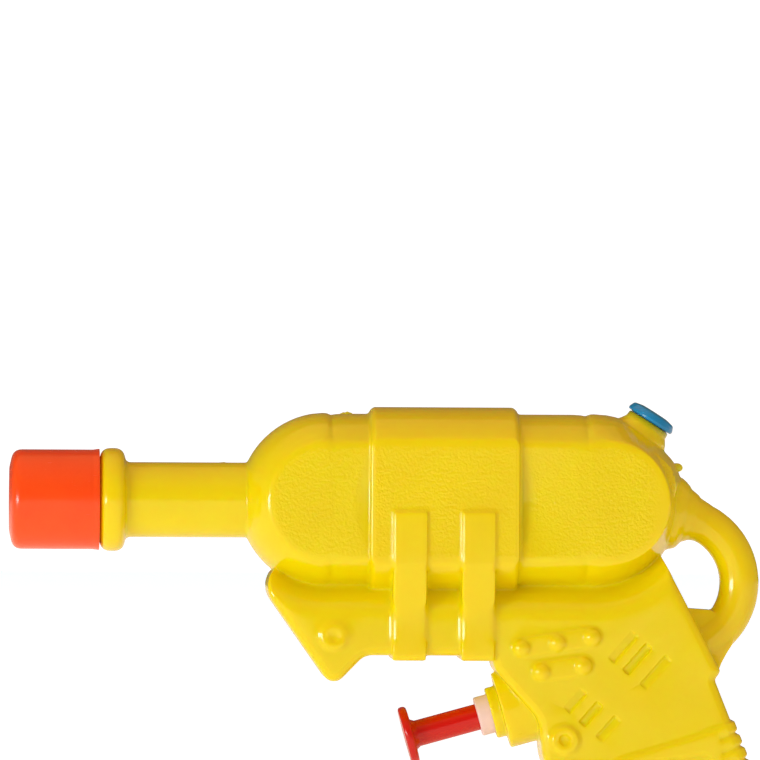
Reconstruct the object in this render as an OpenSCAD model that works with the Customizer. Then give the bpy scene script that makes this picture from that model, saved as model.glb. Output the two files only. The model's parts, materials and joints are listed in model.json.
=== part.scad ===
// Water squirter: a hand pumped toy water pistol in two welded half shells.
// Millimetres, +Z up. The origin is the centre of the muzzle's front face, on the
// barrel axis; the barrel points along -X and the handle is at +X.

/* [Barrel] */
// Length of the orange muzzle cap
cap_len = 17.6; // [14:0.1:24]
// Outside radius of the muzzle cap
cap_r = 9.95; // [8.5:0.05:13]
// Wall thickness of the muzzle cap
cap_wall = 1.8; // [1.2:0.1:2.6]
// Rounding of the muzzle cap's front edge
cap_round = 2.2; // [0.6:0.1:2.4]
// Length of the stop collar behind the cap
collar_len = 5.0; // [3:0.1:8]
// How far the collar stands out past the cap
collar_step = 0.4; // [0.2:0.05:1.2]
// Outside radius of the barrel
barrel_r = 7.5; // [6.8:0.05:9]
// Barrel length from the collar to the tank's front pole
barrel_len = 22.7; // [16:0.1:34]

/* [Tank] */
// Outside radius of the water tank
tank_r = 17.6; // [16.5:0.1:20]
// Length of the tank from pole to pole
tank_len = 88.4; // [80:0.2:105]
// Half width of the tank between its flat sides
tank_flat = 13.0; // [12:0.1:15]
// Radius of the rear end's flat side panel
rear_panel_r = 12.2; // [10:0.1:13]
// Depth of the panel lines round the tank
line_depth = 0.4; // [0.2:0.05:0.7]
// Wall thickness of the two half shells
wall = 1.4; // [1.0:0.1:1.8]

/* [Sleeve and bands] */
// Start of the sleeve, behind the tank's front pole
sleeve_from = 26.1; // [22:0.1:30]
// Length of the sleeve
sleeve_len = 29.6; // [24:0.1:36]
// How far the sleeve stands out past the tank
sleeve_step = 1.15; // [0.5:0.05:2]
// Depth of the panels' dips against the sleeve's ends
dip_depth = 0.7; // [0.2:0.05:0.75]
// Width of the dips at half height
dip_w = 4.0; // [1.5:0.1:5]
// Start of the first band, behind the sleeve's front edge
band_from = 4.5; // [2:0.1:6]
// Width of each band
band_w = 6.65; // [4:0.05:8]
// Distance from one band to the next
band_pitch = 13.7; // [11:0.1:16]
// How far a band stands out
band_step = 0.7; // [0.3:0.05:1.5]

/* [Frame and grip] */
// Depth of the frame's lower edge under the tank
frame_drop = 13.1; // [10:0.1:18]
// Half width of the frame and the grip
frame_half = 11.0; // [10:0.1:12.5]
// Width of the bevel round the frame's edge
frame_bevel = 1.5; // [0.6:0.1:1.8]
// Half width left at the bottom of the groove between tank and frame
groove_half = 5.2; // [4.8:0.1:7]
// Height of the sloping shoulder over the frame
groove_h = 5.2; // [4:0.1:7]
// How far the front fin drops past the frame's lower edge
fin_drop = 6.6; // [3:0.1:10]
// Length of the grip below the frame's lower edge
grip_len = 50.0; // [42:0.5:64]
// How far the grip's heel lies behind the tank's rear pole
heel_back = 18.0; // [12:0.2:24]
// Depth of the grip from front to back at its heel
grip_depth = 36.0; // [30:0.5:42]
// Radius of the rivet shaped bosses
boss_r = 3.0; // [2.4:0.05:3.6]
// Radius of the domes on the grip
dome_r = 1.95; // [1.4:0.05:2.4]
// Depth of the louvre slots
slot_depth = 0.8; // [0.3:0.05:1.0]
// Radius of the ribs down the back of the grip
rib_r = 1.25; // [0.8:0.05:1.5]
// Distance from one rib to the next
rib_pitch = 2.75; // [2.6:0.05:4.5]

/* [Rear loop] */
// Radius of the loop's centre line
loop_r = 13.35; // [11:0.05:16]
// Radius of the loop's round bar
loop_bar_r = 3.95; // [3:0.05:4.6]
// Radius of the loop's root on the tank
loop_root_r = 7.3; // [5.5:0.1:8]
// Height of the loop's centre line above the tank axis at its top
loop_top = -2.75; // [-5:0.05:-1]

/* [Pump] */
// Slope of the pump, rising to the rear
pump_tilt = 15.5; // [12:0.5:19]
// Radius of the trigger rod
rod_r = 2.65; // [2.2:0.05:2.9]
// Radius of the trigger's finger disc
disc_r = 5.95; // [4.5:0.05:7.5]
// Thickness of the trigger's finger disc
disc_t = 1.8; // [1.2:0.1:3]
// Length of bare rod between disc and bush
rod_bare = 13.4; // [11.5:0.1:18]
// Travel of the trigger
stroke = 10.0; // [6:0.1:11]
// Radius of the guide bush where it shows
bush_r = 3.95; // [3.6:0.05:4.4]
// Length of bush that shows
bush_show = 2.7; // [1:0.1:5]
// Radius of the small ring at the pump's mouth
mouth_r = 5.2; // [4.8:0.05:6]
// Radius of the pump's housing
housing_r = 7.7; // [7.3:0.05:8.5]
// Bore radius of the pump cylinder
bore_r = 4.6; // [4.4:0.05:4.9]
// Wall of the pump cylinder
cylinder_wall = 1.25; // [0.9:0.05:1.3]
// Length of the piston
piston_len = 5.0; // [4:0.1:6]
// Radius of the return spring's wire
wire_r = 0.33; // [0.25:0.01:0.4]
// Number of curls in the return spring
curls = 6; // [4:1:7]
// Radius of the two valve balls
ball_r = 1.7; // [1.4:0.05:1.9]
// Lift of the two valve balls
ball_lift = 0.8; // [0.4:0.05:1.0]
// Outside radius of the water tubes
tube_r = 2.0; // [1.8:0.05:2.2]
// Wall of the water tubes
tube_wall = 0.7; // [0.5:0.05:0.8]
// Radius of the jet's hole
jet_r = 0.5; // [0.3:0.05:0.8]

/* [Filler] */
// Lean of the filler neck to the rear
filler_tilt = 32.5; // [25:0.5:40]
// How far the filler neck lies behind the centre of the tank's rear end
filler_back = 1.15; // [0:0.05:2]
// Outside radius of the filler neck
neck_r = 4.55; // [4.4:0.05:5]
// Height of the neck's rim above the tank
neck_rise = 1.4; // [1:0.1:4]
// Bore radius of the filler neck
neck_bore = 3.7; // [2.6:0.05:3.8]
// Radius of the plug's upper disc
plug_r = 5.05; // [4.4:0.05:7]
// Thickness of the plug's upper disc
plug_t = 1.7; // [1.3:0.1:2.5]
// Thickness of the plug's lower step
plug_step = 0.85; // [0.5:0.05:2]
// Length of the plug's stem
plug_stem = 5.0; // [3.5:0.1:6]

/* [Hidden] */
$fn = 64;

// Clearances: a seated fit, a running fit, a ball over its seat.
fit = 0.1;
run = 0.06;
ball_gap = 0.05;

// Stations along the barrel axis.
cap_gap = 0.2;
cap_front = 2.0;
collar_x = cap_len + cap_gap;
collar_r = cap_r + collar_step;
barrel_x = collar_x + collar_len;
stub_r = cap_r - cap_wall - fit;
flange_t = 1.7;
seal_t = 1.1;
flange_x = cap_front + fit;
seal_x = flange_x + flange_t;
stub_x = seal_x + seal_t + run;
barrel_bore = barrel_r - wall;
tank_x = barrel_x + barrel_len;
front_c = tank_x + tank_r;
rear_c = tank_x + tank_len - tank_r;
pole_x = tank_x + tank_len;
inner_r = tank_r - wall;
inner_flat = tank_flat - wall;
body_r = tank_r - 0.2;
sleeve_x = tank_x + sleeve_from;
sleeve_r = tank_r + sleeve_step;
sleeve_flat = tank_flat + sleeve_step - 0.1;
frame_z = -tank_r - frame_drop;

// Pump stations, measured inward from the mouth ring's front face.
pump_x = rear_c - 20.1;
pump_z = frame_z - 11.75;
mouth_t = 2.1;
bush_seat = 6.0;
bush_flange = 2.0;
cyl_s = bush_seat + bush_flange + run;
cyl_r = bore_r + cylinder_wall;
lip_t = 1.0;
piston_s = cyl_s + lip_t + 0.3;
spring_s = piston_s + piston_len;
spring_solid = 5.2;
spring_free = stroke + spring_solid;
block_s = spring_s + spring_free;
cyl_end = block_s + 1.5;
branch_s = cyl_end + 5.0;
branch_r = 4.5;
inlet_seat = -6.0;
port_r = 1.0;
outlet_seat = 2.6;
seat_rise = sqrt(ball_r * ball_r - port_r * port_r) + ball_gap;
inlet_ball_t = inlet_seat + seat_rise;
outlet_ball_t = outlet_seat + seat_rise;
chamber_r = ball_r + 0.45;
inlet_roof = inlet_ball_t + ball_r + ball_lift + 0.15;
outlet_stop = outlet_ball_t + ball_r + ball_lift + 0.15;
block_low = inlet_seat - 2.5;
block_top = outlet_stop + 2.2;
spigot_r = tube_r - tube_wall - run;
head_r = branch_r - 1.5;
spigot_len = 5.0;
spigot_flange = 1.1;

// The delivery tube: over the outlet spigot, round to the tank's floor and up to the barrel.
low_z = -(inner_r - tube_r - 0.5);
tube_bend = 7;
rise_bend = 20;
rise_turn = acos(1 + low_z / (2 * rise_bend));
outlet_t = block_top + spigot_flange + run;
bend_t = (low_z - tube_bend + tube_bend * sin(pump_tilt) - pump_z - branch_s * sin(pump_tilt))
         / cos(pump_tilt);
turn_x = pump_x + branch_s * cos(pump_tilt) - bend_t * sin(pump_tilt) - tube_bend * cos(pump_tilt);
rise_x = front_c + 1;
rise_len = 2 * rise_bend * sin(rise_turn);

// The frame's outline as corners [x, z, rounding], walked with the solid on the left.
grip_z = frame_z - grip_len;
heel_x = pole_x + heel_back;
base_rise = 6.0;
frame_corners = [
  [front_c - 13.55, frame_z + 14.2, 4.8],
  [front_c + 1.1, frame_z - fin_drop, 2.4],
  [front_c + 0.5 + fin_drop * 1.06, frame_z, 3.6],
  [rear_c - 20.4, frame_z, 1.0],
  [rear_c - 19.8, frame_z - 2.7, 3.0],
  [rear_c - 10.9, frame_z - 12.6, 6.0],
  [rear_c - 10.2, frame_z - 20.0, 8.0],
  [heel_x - grip_depth, grip_z, 3.0],
  [heel_x, grip_z + base_rise, 3.5],
  [rear_c + 33.3, frame_z - 27.4, 28.0],
  [rear_c + 24.2, frame_z - 4.6, 0.7],
  [rear_c + 25.4, frame_z - 2.9, 1.0],
  [rear_c + 11.4, frame_z + 24.2, 1.6],
  [front_c - 7.1, frame_z + 20.4, 1.6]
];

// Outline helpers: step round a list, inset its corners, round its corners.
function prior(c, i) = c[(i + len(c) - 1) % len(c)];
function later(c, i) = c[(i + 1) % len(c)];
function flat2(p) = [p[0], p[1]];
function unit(v) = v / norm(v);
function left(v) = [-v[1], v[0]];
function turn(a, b) = atan2(a[0] * b[1] - a[1] * b[0], a * b);
function way_in(c, i) = unit(flat2(c[i]) - flat2(prior(c, i)));
function way_out(c, i) = unit(flat2(later(c, i)) - flat2(c[i]));
function inset_corner(c, i, d) =
  let (a = left(way_in(c, i)), b = left(way_out(c, i)),
       p = flat2(c[i]) + d * (a + b) / (1 + a * b),
       r = c[i][2] + (turn(way_in(c, i), way_out(c, i)) > 0 ? -d : d))
  [p[0], p[1], max(r, 0.06)];
function inset(c, d) = [for (i = [0 : len(c) - 1]) inset_corner(c, i, d)];
function corner_arc(c, i, n) =
  let (a = way_in(c, i), b = way_out(c, i), t = turn(a, b), r = c[i][2], s = sign(t),
       p = flat2(c[i]) - a * r * abs(tan(t / 2)), m = p + left(a) * r * s)
  [for (k = [0 : n]) let (w = t * k / n) m - s * r * (left(a) * cos(w) - a * sin(w))];
function rounded(c, n) = [for (i = [0 : len(c) - 1]) each corner_arc(c, i, n)];

// A solid through level rings of one outline: each ring is [inset, y]. Its two end faces fan out
// from two inner points, which share the outline at corners a and b.
module ring_loft(c, rings, n, hubs, a, b) {
  sets = [for (q = rings) [for (p = rounded(inset(c, q[0]), n)) [p[0], q[1], p[1]]]];
  k = len(sets[0]);
  last = len(rings) - 1;
  hub = (last + 1) * k;
  ia = a * (n + 1);
  ib = b * (n + 1);
  sides = [for (j = [0 : last - 1]) for (i = [0 : k - 1])
    each [[j * k + i, j * k + (i + 1) % k, (j + 1) * k + (i + 1) % k],
          [j * k + i, (j + 1) * k + (i + 1) % k, (j + 1) * k + i]]];
  near = [for (i = [0 : k - 1]) [hub + (i >= ia && i < ib ? 1 : 0), (i + 1) % k, i]];
  far = [for (i = [0 : k - 1]) [hub + (i >= ia && i < ib ? 3 : 2), last * k + i, last * k + (i + 1) % k]];
  bridge = [[hub, hub + 1, ia], [hub, ib, hub + 1],
            [hub + 2, last * k + ia, hub + 3], [hub + 2, hub + 3, last * k + ib]];
  inner = [for (y = [rings[0][1], rings[last][1]]) for (h = hubs) [h[0], y, h[1]]];
  polyhedron(concat([for (s = sets) each s], inner), concat(sides, near, far, bridge));
}

// Placing helpers.
module along_x(x) {
  translate([x, 0, 0]) rotate([0, 90, 0]) children();
}
module spin_x(profile) {
  rotate([0, 90, 0]) rotate_extrude() polygon(profile);
}
module in_pump() {
  translate([pump_x, 0, pump_z]) rotate([0, -pump_tilt, 0]) children();
}
module in_branch() {
  in_pump() translate([branch_s, 0, 0]) children();
}
module in_filler() {
  translate([rear_c + filler_back, 0, 0]) rotate([0, filler_tilt, 0]) children();
}
module slab(half) {
  translate([-20, -half, -120]) cube([240, 2 * half, 180]);
}
module pipe(r, bore, h) {
  difference() {
    cylinder(r = r, h = h);
    translate([0, 0, -1]) cylinder(r = bore, h = h + 2);
  }
}

// Outer forms of the body.
module tank_front(r, half) {
  intersection() {
    translate([front_c, 0, 0]) sphere(r = r);
    translate([tank_x - 5, -half, -r - 1]) cube([tank_r + 5.4, 2 * half, 2 * r + 2]);
  }
}
module tank_middle(r, half) {
  intersection() {
    along_x(front_c - 2) cylinder(r = r, h = rear_c - front_c + 4);
    translate([front_c - 3, -half, -r - 1]) cube([rear_c - front_c + 6, 2 * half, 2 * r + 2]);
  }
}
module tank_rear() {
  intersection() {
    hull() {
      intersection() {
        translate([rear_c, 0, 0]) rotate([90, 0, 0]) sphere(r = tank_r, $fn = 48);
        slab(tank_flat);
      }
      translate([rear_c + 2.8, tank_flat, 0])
        rotate([90, 0, 0]) cylinder(r = rear_panel_r, h = 2 * tank_flat, $fn = 48);
    }
    translate([rear_c - 1, -tank_r, -tank_r - 1]) cube([tank_r + 4, 2 * tank_r, 2 * tank_r + 2]);
  }
}
module tank_lines() {
  for (x = [front_c + 0.4, rear_c - 1.8])
    along_x(x) pipe(tank_r + 2, body_r - line_depth, 0.8);
}
// Shallow round dips in the flat panels against the sleeve's two ends.
dip_h = 11.0;
dip_circle = (dip_h * dip_h + dip_w * dip_w) / (2 * dip_w);
dip_ball = (dip_circle * dip_circle - pow(dip_circle - dip_w, 2)) / (2 * dip_depth);
module panel_dips() {
  for (end = [0, 1]) for (side = [-1, 1])
    intersection() {
      translate([sleeve_x + end * sleeve_len + (1 - 2 * end) * (dip_circle - dip_w),
                 side * (tank_flat + sqrt(dip_ball * dip_ball - dip_circle * dip_circle)), 0])
        sphere(r = dip_ball);
      translate([sleeve_x - 5 + end * sleeve_len, side * tank_flat - 4, -dip_h - 1])
        cube([10, 8, 2 * dip_h + 2]);
    }
}
module sleeve() {
  intersection() {
    spin_x([[0, sleeve_x], [sleeve_r - 0.8, sleeve_x], [sleeve_r, sleeve_x + 0.8],
            [sleeve_r, sleeve_x + sleeve_len - 0.8], [sleeve_r - 0.8, sleeve_x + sleeve_len],
            [0, sleeve_x + sleeve_len]]);
    slab(sleeve_flat);
  }
}
module collar() {
  e = 0.36 * collar_len;
  front = [for (a = [0 : 18 : 90]) [collar_r - e + e * sin(a), collar_x + e - e * cos(a)]];
  back = [for (a = [90 : -18 : 0]) [collar_r - e + e * sin(a), barrel_x - e + e * cos(a)]];
  foot = [[barrel_r + 0.5, barrel_x + 0.1], [barrel_r + 0.2, barrel_x + 0.45],
          [barrel_r - 0.05, barrel_x + 1]];
  spin_x(concat([[0, collar_x]], front, back, foot, [[0, barrel_x + 1]]));
}
module barrel() {
  along_x(stub_x) cylinder(r = stub_r, h = collar_x - stub_x + 1);
  along_x(collar_x + 1) cylinder(r = barrel_r, h = tank_x + 6 - collar_x - 1);
}

// The groove between tank and frame: what is taken off the frame's upper edge.
module shoulder(bottom, rise, side, r, curve) {
  w = frame_half - bottom;
  slope = [for (q = curve) [r + q[0] * rise, bottom + q[1] * w]];
  profile = concat([[0, bottom]], slope, [[0, slope[len(slope) - 1][1]]]);
  for (x = [front_c, rear_c])
    translate([x, 0, 0]) rotate([-90 * side, 0, 0]) rotate_extrude() polygon(profile);
  translate([front_c, 0, 0]) rotate([90, 0, 90]) linear_extrude(rear_c - front_c)
    polygon([for (p = profile) [side * p[1], -p[0]]]);
}
// The shoulder's slope as [down, out] shares: rolled over outside, straight inside.
rolled = [[0, 0], [0.24, 0.44], [0.5, 0.75], [0.8, 0.93], [1.2, 1.03], [1.25, 1.4]];
straight = [[0, 0], [1.4, 1.4]];
// The frame's bevelled edge as rings [inset, y], from one side face to the other.
bevel_rings = [[frame_bevel, -frame_half], [0.3 * frame_bevel, -frame_half + 0.3 * frame_bevel],
               [0, -frame_half + frame_bevel], [0, frame_half - frame_bevel],
               [0.3 * frame_bevel, frame_half - 0.3 * frame_bevel], [frame_bevel, frame_half]];
frame_hubs = [[front_c + 12.9, frame_z + 10.7], [rear_c + 5.6, frame_z + 3.9]];
module frame() {
  difference() {
    ring_loft(frame_corners, bevel_rings, 5, frame_hubs, 3, 13);
    for (side = [-1, 1]) shoulder(groove_half, groove_h, side, tank_r - 0.6, rolled);
  }
}
module frame_hollow() {
  difference() {
    translate([0, frame_half - wall, 0]) rotate([90, 0, 0])
      linear_extrude(2 * (frame_half - wall)) polygon(rounded(inset(frame_corners, wall + 0.15), 3));
    for (side = [-1, 1]) shoulder(groove_half - wall, groove_h, side, tank_r + 0.3, straight);
  }
}

// Bands over the sleeve and down the frame.
band_top = -1.7;
band_face = sleeve_flat + band_step;
band_low = frame_half + band_step + 0.3;
module band(x) {
  z0 = -sqrt(sleeve_r * sleeve_r - sleeve_flat * sleeve_flat);
  z1 = frame_z + 7.5;
  z2 = frame_z - band_step - 0.3;
  right_side = [[band_face - 0.5, band_top], [band_face, band_top - 0.5], [band_face, z0],
                [band_low, z1], [band_low, z2 + 0.8], [band_low - 0.8, z2]];
  left_side = [for (i = [len(right_side) - 1 : -1 : 0]) [-right_side[i][0], right_side[i][1]]];
  translate([x, 0, 0]) rotate([90, 0, 90]) linear_extrude(band_w) polygon(concat(right_side, left_side));
}

// The loop behind the tank: a round bar whose upper root swells onto the tank, as rings of points
// at [angle from the top, radius, lift], and a thin web that fills the corners at its lower root.
loop_z = loop_top - loop_r;
loop_x = rear_c + 16.2;
swell = loop_root_r - loop_bar_r;
loop_root = [[-26, loop_root_r - 0.2, 0.7], [-2, loop_root_r, 0.7], [3, loop_bar_r + 0.93 * swell, 0.6],
             [9, loop_bar_r + 0.56 * swell, 0.3], [9.6, loop_bar_r + 0.46 * swell, 0.3],
             [17, loop_bar_r + 0.24 * swell, 0.1], [17.6, loop_bar_r + 0.16 * swell, 0.1],
             [27, loop_bar_r + 0.02 * swell, 0]];
root_sides = 28;
function root_ring(q) = [for (i = [0 : root_sides - 1]) let (a = 360 * i / root_sides,
    d = loop_r + q[2] + q[1] * cos(a))
  [loop_x + d * sin(q[0]), q[1] * sin(a), loop_z + d * cos(q[0])]];
module upper_root() {
  n = root_sides;
  last = len(loop_root) - 1;
  ends = [for (q = [loop_root[0], loop_root[last]])
    [loop_x + (loop_r + q[2]) * sin(q[0]), 0, loop_z + (loop_r + q[2]) * cos(q[0])]];
  hub = (last + 1) * n;
  sides = [for (j = [0 : last - 1]) for (i = [0 : n - 1]) let (k = (i + 1) % n)
    each [[j * n + i, j * n + k, j * n + n + k], [j * n + i, j * n + n + k, j * n + n + i]]];
  caps = [for (i = [0 : n - 1]) let (k = (i + 1) % n)
    each [[hub, k, i], [hub + 1, last * n + i, last * n + k]]];
  polyhedron(concat([for (q = loop_root) each root_ring(q)], ends), concat(sides, caps));
}
module rear_loop() {
  translate([loop_x, 0, loop_z]) rotate([90, 0, 0]) rotate([0, 0, -74])
    rotate_extrude(angle = 162) translate([loop_r, 0]) circle(r = loop_bar_r);
  upper_root();
  translate([0, 2.9, 0]) rotate([90, 0, 0]) linear_extrude(5.8)
    polygon([[loop_x + 1.4, loop_z - 5.0], [loop_x + 7.6, loop_z - 5.4], [loop_x + 11.2, loop_z - 8.0],
             [loop_x + 12.2, loop_z - 11.9], [loop_x + 10.8, loop_z - 14.1], [loop_x + 9.8, loop_z - 16.0],
             [loop_x + 9.3, loop_z - 17.3], [loop_x + 6.0, loop_z - 17.3], [loop_x + 3.0, loop_z - 14.4]]);
}

// The pump's mouth and housing.
module pump_mouth() {
  in_pump() rotate([0, 90, 0]) {
    cylinder(r = mouth_r, h = mouth_t + 1);
    translate([0, 0, mouth_t]) cylinder(r = housing_r, h = 14);
  }
}
module filler_neck() {
  in_filler() {
    translate([0, 0, inner_r - 3]) cylinder(r = neck_r, h = 3 + wall + neck_rise);
    translate([0, 0, inner_r + wall - 1.4]) cylinder(r1 = neck_r + 1.1, r2 = neck_r - 0.1, h = 1.8);
  }
}

// Marks on the frame's sides: bosses, domes on strips, louvre slots, grip panel and ribs.
boss_at = [[front_c + 1.35, frame_z + 3.85], [rear_c - 5.75, frame_z - 16.7]];
domes_at = [[rear_c - 14.4, frame_z + 1.65], [rear_c - 7.3, frame_z + 2.7], [rear_c - 0.4, frame_z + 3.85],
            [rear_c - 10.45, frame_z - 3.1], [rear_c - 2.1, frame_z - 1.85]];
module strip(a, b) {
  d = domes_at[b] - domes_at[a];
  translate([domes_at[a][0], 0, domes_at[a][1]]) rotate([0, -atan2(d[1], d[0]), 0])
    translate([0, frame_half - 1, -dome_r + 0.05]) cube([norm(d), 1.35, 2 * dome_r - 0.1]);
}
module raised_marks() {
  for (p = boss_at)
    translate([p[0], frame_half - 1, p[1]]) rotate([-90, 0, 0]) {
      cylinder(r = boss_r, h = 1.4);
      cylinder(r1 = boss_r, r2 = boss_r - 0.5, h = 1.8);
    }
  strip(0, 2);
  strip(3, 4);
  for (p = domes_at)
    translate([p[0], frame_half - 0.7, p[1]]) sphere(r = sqrt(dome_r * dome_r + 0.49), $fn = 48);
}
// Louvre slots as [x, z, length, depth share, slope] of their upper left edge: in each row the first
// falls away from that edge, the second is level and the third rises from it.
slots_at = [[rear_c + 5.1, frame_z + 2.5, 7.3, 0.15, -16], [rear_c + 8.0, frame_z + 0.1, 7.2, 0.75, 0],
            [rear_c + 11.6, frame_z - 2.55, 7.7, 0.75, 14], [rear_c - 4.4, frame_z - 8.25, 5.3, 0.15, -16],
            [rear_c - 1.2, frame_z - 10.9, 5.5, 0.75, 0], [rear_c + 2.25, frame_z - 13.75, 5.7, 0.75, 14]];
slot_w = 1.75;
slot_lean = 49;
module sunk_marks() {
  for (p = boss_at)
    translate([p[0], frame_half + 0.1, p[1]]) rotate([-90, 0, 0]) cylinder(r1 = 0.8, r2 = 1.6, h = 1);
  for (p = slots_at)
    translate([p[0], frame_half, p[1]]) rotate([0, -slot_lean, 0]) translate([-p[2] / 2, 0, 0])
      rotate([p[4], 0, 0]) translate([0, -slot_depth * p[3], -slot_w])
        cube([p[2], slot_depth * p[3] + 2, slot_w]);
}
// The grip's side panel: a raised plate with a step along its upper edge, and a sunk field in it.
plate_corners = [[rear_c + 4.6, frame_z - 20.7, 1.8], [heel_x - grip_depth + 2.2, grip_z + 3.2, 2.4],
                 [heel_x - 6.5, grip_z + base_rise + 2.2, 2.4], [rear_c + 25.0, frame_z - 14.6, 1.8]];
field_corners = [[rear_c + 6.4, frame_z - 21.6, 1.2], [heel_x - grip_depth + 3.8, grip_z + 4.8, 1.8],
                 [heel_x - 8.6, grip_z + base_rise + 3.4, 1.8], [rear_c + 23.6, frame_z - 18.9, 1.8]];
module side_plate(corners, y, h) {
  translate([0, y + h, 0]) rotate([90, 0, 0]) linear_extrude(h) polygon(rounded(corners, 4));
}
// Ribs down the grip's back, spaced along the two straight runs of the rear edge.
heel = flat2(frame_corners[8]);
back_bend = flat2(frame_corners[9]);
back_top = flat2(frame_corners[10]);
run_1 = norm(back_bend - back_top);
run_2 = norm(heel - back_bend);
rib_from = 10.0;
rib_count = floor((run_1 + run_2 - 7 - rib_from) / rib_pitch);
function back_way(d) = unit(d < run_1 ? back_bend - back_top : heel - back_bend);
function back_at(d) = d < run_1 ? back_top + back_way(d) * d : back_bend + back_way(d) * (d - run_1);
rib_side = [[-7.2, frame_half - 0.6], [-5.6, frame_half + 0.3], [-1.3, frame_half + 0.3],
            [-0.3, frame_half - 0.1], [0.4, frame_half - 0.9], [0.7, frame_half - 2.0]];
rib_plan = concat(rib_side, [for (i = [len(rib_side) - 1 : -1 : 0]) [rib_side[i][0], -rib_side[i][1]]]);
module back_ribs() {
  for (k = [0 : rib_count]) {
    d = rib_from + k * rib_pitch;
    w = back_way(d);
    translate([back_at(d)[0], 0, back_at(d)[1]]) rotate([0, -atan2(w[0], -w[1]), 0])
      translate([0, 0, -0.75 * rib_r]) linear_extrude(1.5 * rib_r) polygon(rib_plan);
  }
}

module body_outside() {
  difference() {
    union() {
      tank_front(tank_r, tank_flat);
      tank_middle(body_r, tank_flat - 0.1);
      tank_rear();
    }
    tank_lines();
    panel_dips();
  }
  sleeve();
  collar();
  barrel();
  frame();
  for (k = [0, 1]) band(sleeve_x + band_from + k * band_pitch);
  rear_loop();
  pump_mouth();
  filler_neck();
  raised_marks();
  side_plate(plate_corners, frame_half - 1, 1.35);
  back_ribs();
}
module body_inside() {
  tank_front(inner_r, inner_flat);
  tank_middle(inner_r - 0.05, inner_flat - 0.05);
  intersection() {
    translate([rear_c, 0, 0]) sphere(r = inner_r);
    translate([rear_c - 1, -inner_flat, -tank_r]) cube([tank_r + 4, 2 * inner_flat, 2 * tank_r]);
  }
  along_x(stub_x - 1) cylinder(r = barrel_bore, h = tank_x + 8 - stub_x);
  frame_hollow();
  in_pump() rotate([0, 90, 0]) {
    translate([0, 0, -2]) cylinder(r = bush_r + fit, h = bush_seat + 2.5);
    translate([0, 0, bush_seat]) cylinder(r = cyl_r + fit, h = 12);
  }
  in_filler() translate([0, 0, 10]) cylinder(r = neck_bore, h = 14);
}
// Posts and the pump's cradle, standing inside one half from the seam to the wall.
module posts(half_r) {
  for (p = boss_at)
    translate([p[0], 0, p[1]]) rotate([-90, 0, 0]) cylinder(r = half_r, h = frame_half - 0.7);
}
cradle_s = cyl_end - 4.0;
module cradle() {
  in_pump() difference() {
    translate([cradle_s, 2.5, -cyl_r - 2]) cube([1.6, frame_half - wall - 2.0, 2 * cyl_r + 4]);
    rotate([0, 90, 0]) cylinder(r = cyl_r + fit, h = 60);
  }
}
module half_body() {
  intersection() {
    union() {
      difference() {
        body_outside();
        body_inside();
        sunk_marks();
        side_plate(field_corners, frame_half + 0.06, 3);
      }
      posts(2.0);
      cradle();
    }
    translate([-20, 0, -130]) cube([240, 40, 180]);
  }
}
module pins(r, depth) {
  for (p = boss_at)
    translate([p[0], depth, p[1]]) rotate([90, 0, 0]) cylinder(r = r, h = 2 * depth);
}

module left_shell() {
  color("#ebca20") mirror([0, 1, 0]) difference() {
    half_body();
    pins(1.1 + run, 4.4);
  }
}
module right_shell() {
  color("#ebca20") union() {
    half_body();
    pins(1.1, 4);
  }
}

module muzzle_cap() {
  e = cap_round;
  color("#ff5521") difference() {
    spin_x([[0, 0], [cap_r - e, 0], [cap_r - 0.62 * e, 0.08 * e], [cap_r - 0.29 * e, 0.29 * e],
            [cap_r - 0.08 * e, 0.62 * e], [cap_r, e], [cap_r, cap_len - 0.4],
            [cap_r - 0.4, cap_len], [0, cap_len]]);
    along_x(cap_front) cylinder(r = stub_r + fit, h = cap_len);
    along_x(-1) cylinder(r = tip_r + fit, h = cap_front + 2);
  }
}
tip_r = 2.4;
nozzle_body = seal_x + 7.0;
module nozzle_insert() {
  color("#f2efe6") difference() {
    spin_x([[0, 0.5], [tip_r - 0.5, 0.5], [tip_r, 1.0], [tip_r, flange_x], [stub_r - 0.7, flange_x],
            [stub_r - 0.7, seal_x], [barrel_bore - fit, seal_x], [barrel_bore - fit, nozzle_body],
            [spigot_r, nozzle_body], [spigot_r, nozzle_body + spigot_len], [0, nozzle_body + spigot_len]]);
    along_x(0) cylinder(r = jet_r, h = 4);
    along_x(3) cylinder(r = 0.8, h = 30);
  }
}
module nozzle_seal() {
  color("#26282b") along_x(seal_x + run / 2) pipe(stub_r - 0.7, barrel_bore, seal_t);
}

// The delivery tube as stations [x, z, heading] along its bends, swept by two rings of points.
// A bend turns from heading h0 to h1 about its centre; a negative radius bends to the left.
bend_steps = 8;
function bend(c, r, h0, h1) = [for (k = [0 : bend_steps]) let (h = h0 + (h1 - h0) * k / bend_steps)
  [c[0] - r * sin(h), c[1] + r * cos(h), h]];
branch_foot = [pump_x + branch_s * cos(pump_tilt), pump_z + branch_s * sin(pump_tilt)];
tube_foot = branch_foot + (outlet_t + fit) * [-sin(pump_tilt), cos(pump_tilt)];
fall = bend([rise_x, -rise_bend], rise_bend, 0, -rise_turn);
level = bend([rise_x + rise_len, low_z + rise_bend], -rise_bend, -rise_turn, 0);
dive = bend([turn_x, low_z - tube_bend], tube_bend, 0, pump_tilt - 90);
tube_way = concat([[nozzle_body + fit, 0, 0]], fall, [for (k = [1 : bend_steps]) level[k]], dive,
                  [[tube_foot[0], tube_foot[1], pump_tilt - 90]]);
tube_sides = 20;
function tube_ring(q, r) = [for (i = [0 : tube_sides - 1]) let (a = 360 * i / tube_sides)
  [q[0] - r * cos(a) * sin(q[2]), r * sin(a), q[1] + r * cos(a) * cos(q[2])]];
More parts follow.
